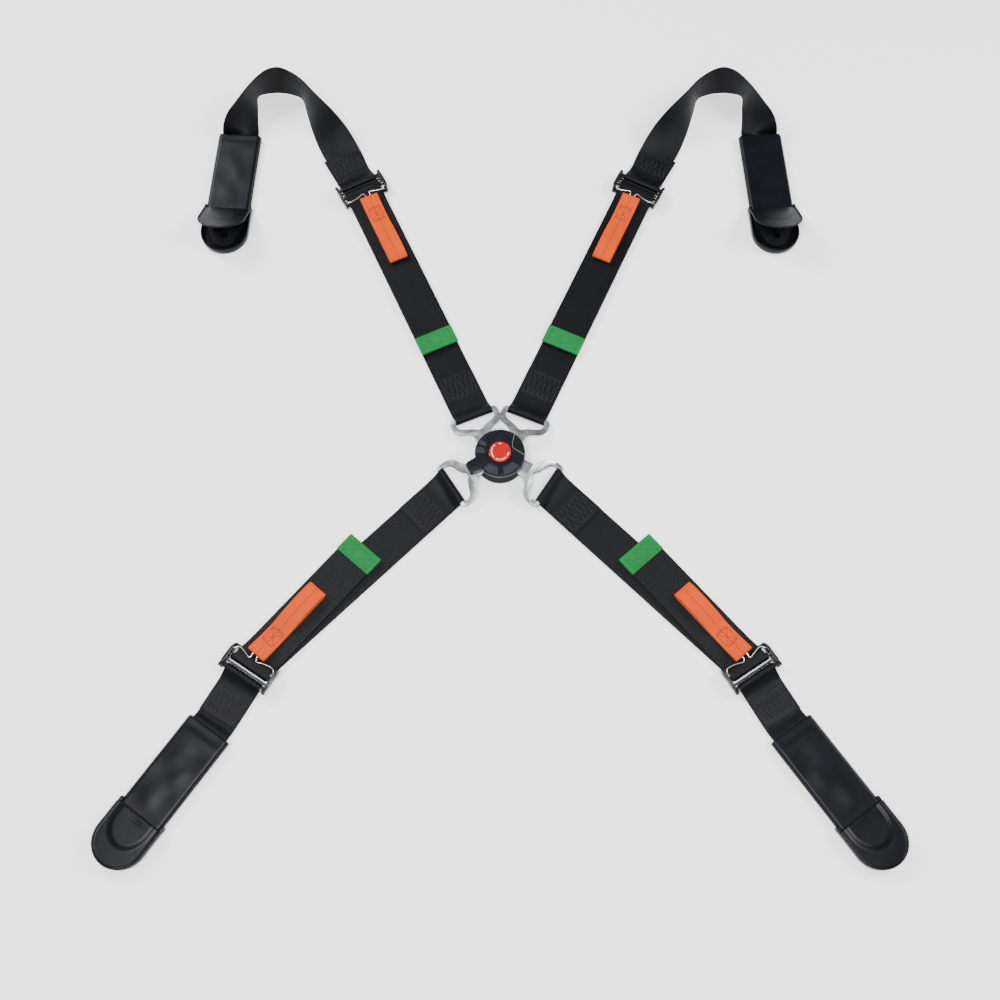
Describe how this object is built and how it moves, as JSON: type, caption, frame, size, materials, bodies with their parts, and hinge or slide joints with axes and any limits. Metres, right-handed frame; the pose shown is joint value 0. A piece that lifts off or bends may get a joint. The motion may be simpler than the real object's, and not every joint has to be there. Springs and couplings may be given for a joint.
{
  "type": "racing harness",
  "caption": "Multi-strap racing harness with a rotary cam buckle, stamped tongues, webbing straps with slide adjusters, pull loops and booted anchor plates.",
  "frame": {"origin": "middle of the buckle's flat back face, which lies on the floor plane z = 0", "axes": "+Z out of the buckle's front towards the viewer, +Y towards the shoulder straps, +X towards the right-hand straps as seen from the front"},
  "size_m": [0.9216, 1.0662, 0.051],
  "materials": {
    "webbing": "black polyester webbing, plain ribbed weave, slight sheen",
    "boot_cover": "soft satin black PVC",
    "green_webbing": "green folded tag with dark box stitching",
    "orange_webbing": "orange webbing with a dark centre thread and red-orange box stitching",
    "tongue_steel": "stamped, polished steel",
    "black_steel": "black electroplated steel, semi-gloss",
    "bail_wire": "bright spring wire",
    "plate_steel": "plated steel, satin",
    "knob_plastic": "fine-grained bluish black moulded plastic",
    "button_plastic": "red moulded plastic with pale ring marks",
    "housing_metal": "black coated die casting",
    "spring_wire": "spring steel"
  },
  "bodies": {
    "buckle": {"back_plate": "plate_steel", "housing": "housing_metal", "centre_post": "plate_steel", "return_spring": "spring_wire", "button_spring": "spring_wire", "captive_pin_lap_left": "plate_steel"},
    "knob": {"release_knob": "knob_plastic", "cam_rotor": "plate_steel"},
    "button": {"push_button": "button_plastic"},
    "pin_shoulder_left": {"latch_pin_shoulder_left": "plate_steel"},
    "pin_shoulder_right": {"latch_pin_shoulder_right": "plate_steel"},
    "pin_lap_right": {"latch_pin_lap_right": "plate_steel"},
    "tongue_shoulder_left": {"tongue_shoulder_left": "tongue_steel"},
    "belt_shoulder_left": {"belt_shoulder_left": "webbing"},
    "adjuster_shoulder_left": {"adjuster_frame_shoulder_left": "black_steel"},
    "slide_bar_shoulder_left": {"slide_bar_shoulder_left": "black_steel"},
    "tail_shoulder_left": {"tail_shoulder_left": "webbing", "tail_tag_shoulder_left": "green_webbing"},
    "bail_shoulder_left": {"bail_shoulder_left": "bail_wire"},
    "pull_shoulder_left": {"pull_loop_shoulder_left": "orange_webbing"},
    "anchor_shoulder_left": {"anchor_strap_shoulder_left": "webbing", "boot_shoulder_left": "boot_cover", "anchor_plate_shoulder_left": "plate_steel"},
    "flap_shoulder_left": {"boot_flap_shoulder_left": "boot_cover"},
    "tongue_shoulder_right": {"tongue_shoulder_right": "tongue_steel"},
    "belt_shoulder_right": {"belt_shoulder_right": "webbing"},
    "adjuster_shoulder_right": {"adjuster_frame_shoulder_right": "black_steel"},
    "slide_bar_shoulder_right": {"slide_bar_shoulder_right": "black_steel"},
    "tail_shoulder_right": {"tail_shoulder_right": "webbing", "tail_tag_shoulder_right": "green_webbing"},
    "bail_shoulder_right": {"bail_shoulder_right": "bail_wire"},
    "pull_shoulder_right": {"pull_loop_shoulder_right": "orange_webbing"},
    "anchor_shoulder_right": {"anchor_strap_shoulder_right": "webbing", "boot_shoulder_right": "boot_cover", "anchor_plate_shoulder_right": "plate_steel"},
    "flap_shoulder_right": {"boot_flap_shoulder_right": "boot_cover"},
    "tongue_lap_left": {"tongue_lap_left": "tongue_steel"},
    "belt_lap_left": {"belt_lap_left": "webbing"},
    "adjuster_lap_left": {"adjuster_frame_lap_left": "black_steel"},
    "slide_bar_lap_left": {"slide_bar_lap_left": "black_steel"},
    "tail_lap_left": {"tail_lap_left": "webbing", "tail_tag_lap_left": "green_webbing"},
    "bail_lap_left": {"bail_lap_left": "bail_wire"},
    "pull_lap_left": {"pull_loop_lap_left": "orange_webbing"},
    "anchor_lap_left": {"anchor_strap_lap_left": "webbing", "boot_lap_left": "boot_cover", "anchor_plate_lap_left": "plate_steel"},
    "flap_lap_left": {"boot_flap_lap_left": "boot_cover"},
    "tongue_lap_right": {"tongue_lap_right": "tongue_steel"},
    "belt_lap_right": {"belt_lap_right": "webbing"},
    "adjuster_lap_right": {"adjuster_frame_lap_right": "black_steel"},
    "slide_bar_lap_right": {"slide_bar_lap_right": "black_steel"},
    "tail_lap_right": {"tail_lap_right": "webbing", "tail_tag_lap_right": "green_webbing"},
    "bail_lap_right": {"bail_lap_right": "bail_wire"},
    "pull_lap_right": {"pull_loop_lap_right": "orange_webbing"},
    "anchor_lap_right": {"anchor_strap_lap_right": "webbing", "boot_lap_right": "boot_cover", "anchor_plate_lap_right": "plate_steel"},
    "flap_lap_right": {"boot_flap_lap_right": "boot_cover"}
  },
  "joints": [
    {"name": "release_turn", "type": "hinge", "parent": "buckle", "child": "knob", "pos_m": [0, 0, 0.025], "axis": [0, 0, 1], "range_deg": [0, 40], "stiffness_Nm_per_rad": 0.2, "springref_deg": -8.59},
    {"name": "button_press", "type": "slide", "parent": "knob", "child": "button", "axis": [0, 0, -1], "range_m": [0, 0.002], "stiffness_N_per_m": 200, "springref_m": -0.0005, "deforming": ["button_spring"]},
    {"name": "latch_lift_shoulder_left", "type": "slide", "parent": "buckle", "child": "pin_shoulder_left", "axis": [0, 0, 1], "range_m": [0, 0.00385]},
    {"name": "latch_lift_shoulder_right", "type": "slide", "parent": "buckle", "child": "pin_shoulder_right", "axis": [0, 0, 1], "range_m": [0, 0.00385]},
    {"name": "latch_lift_lap_right", "type": "slide", "parent": "buckle", "child": "pin_lap_right", "axis": [0, 0, 1], "range_m": [0, 0.00385]},
    {"name": "tongue_swivel_shoulder_left", "type": "hinge", "parent": "buckle", "child": "tongue_shoulder_left", "pos_m": [-0.01495, 0.01474, 0.015], "axis": [0, 0, 1], "range_deg": [0, 6]},
    {"name": "belt_lift_shoulder_left", "type": "hinge", "parent": "tongue_shoulder_left", "child": "belt_shoulder_left", "pos_m": [-0.03428, 0.0614, 0.00535], "axis": [0.9239, 0.3827, 0], "range_deg": [0, 90]},
    {"name": "adjust_shoulder_left", "type": "slide", "parent": "belt_shoulder_left", "child": "adjuster_shoulder_left", "axis": [-0.4147, 0.91, 0], "range_m": [-0.043, 0.11], "deforming": ["belt_shoulder_left", "tail_shoulder_left"]},
    {"name": "tail_run_shoulder_left", "type": "slide", "parent": "adjuster_shoulder_left", "child": "tail_shoulder_left", "axis": [-0.4179, 0.9085, 0], "range_m": [-0.043, 0.11]},
    {"name": "bar_float_shoulder_left", "type": "slide", "parent": "adjuster_shoulder_left", "child": "slide_bar_shoulder_left", "axis": [-0.454, 0.891, 0], "range_m": [-0.0025, 0.0025]},
    {"name": "bail_swing_shoulder_left", "type": "hinge", "parent": "adjuster_shoulder_left", "child": "bail_shoulder_left", "pos_m": [-0.18491, 0.39058, 0.0115], "axis": [-0.891, -0.454, 0], "range_deg": [0, 60]},
    {"name": "pull_swing_shoulder_left", "type": "hinge", "parent": "bail_shoulder_left", "child": "pull_shoulder_left", "pos_m": [-0.17882, 0.38303, 0.0115], "axis": [-0.91, -0.4147, 0], "range_deg": [0, 80]},
    {"name": "anchor_fold_shoulder_left", "type": "hinge", "parent": "adjuster_shoulder_left", "child": "anchor_shoulder_left", "pos_m": [-0.1949, 0.41018, 0.0056], "axis": [-0.891, -0.454, 0], "range_deg": [-60, 0]},
    {"name": "flap_open_shoulder_left", "type": "hinge", "parent": "anchor_shoulder_left", "child": "flap_shoulder_left", "pos_m": [-0.37137, 0.36625, 0.0101], "axis": [-0.9979, 0.0645, 0], "range_deg": [-34, 66]},
    {"name": "tongue_swivel_shoulder_right", "type": "hinge", "parent": "buckle", "child": "tongue_shoulder_right", "pos_m": [0.01495, 0.01474, 0.015], "axis": [0, 0, -1], "range_deg": [0, 6]},
    {"name": "belt_lift_shoulder_right", "type": "hinge", "parent": "tongue_shoulder_right", "child": "belt_shoulder_right", "pos_m": [0.03428, 0.0614, 0.00535], "axis": [0.9239, -0.3827, 0], "range_deg": [0, 90]},
    {"name": "adjust_shoulder_right", "type": "slide", "parent": "belt_shoulder_right", "child": "adjuster_shoulder_right", "axis": [0.4147, 0.91, 0], "range_m": [-0.043, 0.11], "deforming": ["belt_shoulder_right", "tail_shoulder_right"]},
    {"name": "tail_run_shoulder_right", "type": "slide", "parent": "adjuster_shoulder_right", "child": "tail_shoulder_right", "axis": [0.4179, 0.9085, 0], "range_m": [-0.043, 0.11]},
    {"name": "bar_float_shoulder_right", "type": "slide", "parent": "adjuster_shoulder_right", "child": "slide_bar_shoulder_right", "axis": [0.454, 0.891, 0], "range_m": [-0.0025, 0.0025]},
    {"name": "bail_swing_shoulder_right", "type": "hinge", "parent": "adjuster_shoulder_right", "child": "bail_shoulder_right", "pos_m": [0.18491, 0.39058, 0.0115], "axis": [-0.891, 0.454, 0], "range_deg": [0, 60]},
    {"name": "pull_swing_shoulder_right", "type": "hinge", "parent": "bail_shoulder_right", "child": "pull_shoulder_right", "pos_m": [0.17882, 0.38303, 0.0115], "axis": [-0.91, 0.4147, 0], "range_deg": [0, 80]},
    {"name": "anchor_fold_shoulder_right", "type": "hinge", "parent": "adjuster_shoulder_right", "child": "anchor_shoulder_right", "pos_m": [0.1949, 0.41018, 0.0056], "axis": [-0.891, 0.454, 0], "range_deg": [-60, 0]},
    {"name": "flap_open_shoulder_right", "type": "hinge", "parent": "anchor_shoulder_right", "child": "flap_shoulder_right", "pos_m": [0.37137, 0.36625, 0.0101], "axis": [-0.9979, -0.0645, 0], "range_deg": [-34, 66]},
    {"name": "tongue_swivel_lap_left", "type": "hinge", "parent": "buckle", "child": "tongue_lap_left", "pos_m": [-0.01908, -0.00877, 0.015], "axis": [0, 0, 1], "range_deg": [-6, 6]},
    {"name": "belt_lift_lap_left", "type": "hinge", "parent": "tongue_lap_left", "child": "belt_lap_left", "pos_m": [-0.06143, -0.03628, 0.00535], "axis": [-0.5446, 0.8387, 0], "range_deg": [0, 75]},
    {"name": "adjust_lap_left", "type": "slide", "parent": "belt_lap_left", "child": "adjuster_lap_left", "axis": [-0.7169, -0.6972, 0], "range_m": [-0.043, 0.045], "deforming": ["belt_lap_left", "tail_lap_left"]},
    {"name": "tail_run_lap_left", "type": "slide", "parent": "adjuster_lap_left", "child": "tail_lap_left", "axis": [-0.6585, -0.7525, 0], "range_m": [-0.043, 0.045]},
    {"name": "bar_float_lap_left", "type": "slide", "parent": "adjuster_lap_left", "child": "slide_bar_lap_left", "axis": [-0.5446, -0.8387, 0], "range_m": [-0.0025, 0.0025]},
    {"name": "bail_swing_lap_left", "type": "hinge", "parent": "adjuster_lap_left", "child": "bail_lap_left", "pos_m": [-0.29173, -0.25882, 0.0115], "axis": [0.8387, -0.5446, 0], "range_deg": [0, 60]},
    {"name": "pull_swing_lap_left", "type": "hinge", "parent": "bail_lap_left", "child": "pull_lap_left", "pos_m": [-0.28823, -0.24976, 0.0115], "axis": [0.7604, -0.6494, 0], "range_deg": [0, 80]},
    {"name": "anchor_fold_lap_left", "type": "hinge", "parent": "adjuster_lap_left", "child": "anchor_lap_left", "pos_m": [-0.30371, -0.27727, 0.0056], "axis": [0.8387, -0.5446, 0], "range_deg": [-60, 0]},
    {"name": "flap_open_lap_left", "type": "hinge", "parent": "anchor_lap_left", "child": "flap_lap_left", "pos_m": [-0.40967, -0.43765, 0.0101], "axis": [-0.8151, 0.5793, 0], "range_deg": [0, 100]},
    {"name": "tongue_swivel_lap_right", "type": "hinge", "parent": "buckle", "child": "tongue_lap_right", "pos_m": [0.01908, -0.00877, 0.015], "axis": [0, 0, 1], "range_deg": [-6, 6]},
    {"name": "belt_lift_lap_right", "type": "hinge", "parent": "tongue_lap_right", "child": "belt_lap_right", "pos_m": [0.06143, -0.03628, 0.00535], "axis": [-0.5446, -0.8387, 0], "range_deg": [0, 75]},
    {"name": "adjust_lap_right", "type": "slide", "parent": "belt_lap_right", "child": "adjuster_lap_right", "axis": [0.7169, -0.6972, 0], "range_m": [-0.043, 0.045], "deforming": ["belt_lap_right", "tail_lap_right"]},
    {"name": "tail_run_lap_right", "type": "slide", "parent": "adjuster_lap_right", "child": "tail_lap_right", "axis": [0.6585, -0.7525, 0], "range_m": [-0.043, 0.045]},
    {"name": "bar_float_lap_right", "type": "slide", "parent": "adjuster_lap_right", "child": "slide_bar_lap_right", "axis": [0.5446, -0.8387, 0], "range_m": [-0.0025, 0.0025]},
    {"name": "bail_swing_lap_right", "type": "hinge", "parent": "adjuster_lap_right", "child": "bail_lap_right", "pos_m": [0.29173, -0.25882, 0.0115], "axis": [0.8387, 0.5446, 0], "range_deg": [0, 60]},
    {"name": "pull_swing_lap_right", "type": "hinge", "parent": "bail_lap_right", "child": "pull_lap_right", "pos_m": [0.28823, -0.24976, 0.0115], "axis": [0.7604, 0.6494, 0], "range_deg": [0, 80]},
    {"name": "anchor_fold_lap_right", "type": "hinge", "parent": "adjuster_lap_right", "child": "anchor_lap_right", "pos_m": [0.30371, -0.27727, 0.0056], "axis": [0.8387, 0.5446, 0], "range_deg": [-60, 0]},
    {"name": "flap_open_lap_right", "type": "hinge", "parent": "anchor_lap_right", "child": "flap_lap_right", "pos_m": [0.40967, -0.43765, 0.0101], "axis": [-0.8151, -0.5793, 0], "range_deg": [0, 100]}
  ],
  "couplings": [
    {"joint": "latch_lift_shoulder_left", "follows": "release_turn", "m_per_rad": 0.0054431},
    {"joint": "latch_lift_shoulder_right", "follows": "release_turn", "m_per_rad": 0.0054431},
    {"joint": "latch_lift_lap_right", "follows": "release_turn", "m_per_rad": 0.0054431},
    {"joint": "tail_run_shoulder_left", "follows": "adjust_shoulder_left", "ratio": 1},
    {"joint": "tail_run_shoulder_right", "follows": "adjust_shoulder_right", "ratio": 1},
    {"joint": "tail_run_lap_left", "follows": "adjust_lap_left", "ratio": 1},
    {"joint": "tail_run_lap_right", "follows": "adjust_lap_right", "ratio": 1}
  ]
}
